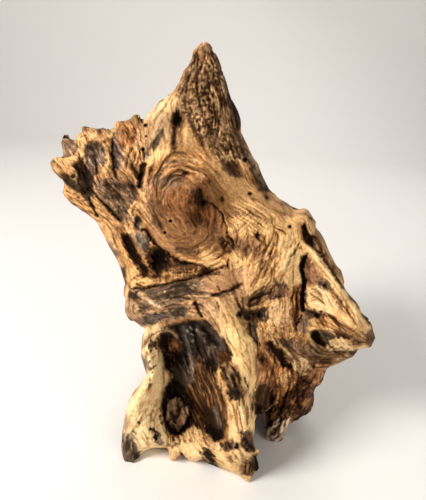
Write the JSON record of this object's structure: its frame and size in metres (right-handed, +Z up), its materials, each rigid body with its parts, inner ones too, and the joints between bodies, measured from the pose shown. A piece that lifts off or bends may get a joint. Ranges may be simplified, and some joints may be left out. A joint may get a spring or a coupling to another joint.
{
  "type": "bogwood",
  "caption": "Weathered bogwood root piece with a pointed spike, a thin torn fan, a large knot and a side wedge, standing upright on its broken feet.",
  "frame": {"origin": "centre of the bounding box at the height of the feet, on the surface that the wood stands on", "axes": "+Z up along the wood's height to the tip of the spike, +X to the right towards the side wedge, -Y towards the face with the knot"},
  "size_m": [0.217, 0.161, 0.2977],
  "materials": {
    "weathered_wood": "dry weathered root wood, cream to brown with dark rotted hollows and remnants of bark"
  },
  "bodies": {
    "root": {"bogwood": "weathered_wood"}
  },
  "joints": []
}
